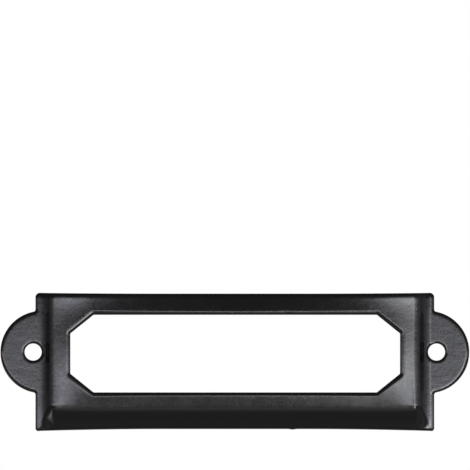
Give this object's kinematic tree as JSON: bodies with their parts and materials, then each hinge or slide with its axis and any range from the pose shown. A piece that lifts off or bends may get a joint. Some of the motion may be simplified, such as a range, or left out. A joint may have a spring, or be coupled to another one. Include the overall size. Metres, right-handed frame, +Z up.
{
  "type": "drawer label holder",
  "caption": "Pressed sheet label holder with a raised face, a long window, a card space open at the top and a screw ear at each end.",
  "frame": {"origin": "midway between the two screw holes, in the plane of the back of the ears", "axes": "+X along the length, +Z up on the drawer with the card space open at the top, the face towards -Y"},
  "size_m": [0.083, 0.0032, 0.0245],
  "materials": {
    "black_paint": "satin"
  },
  "bodies": {
    "root": {"label_frame": "black_paint"}
  },
  "joints": []
}
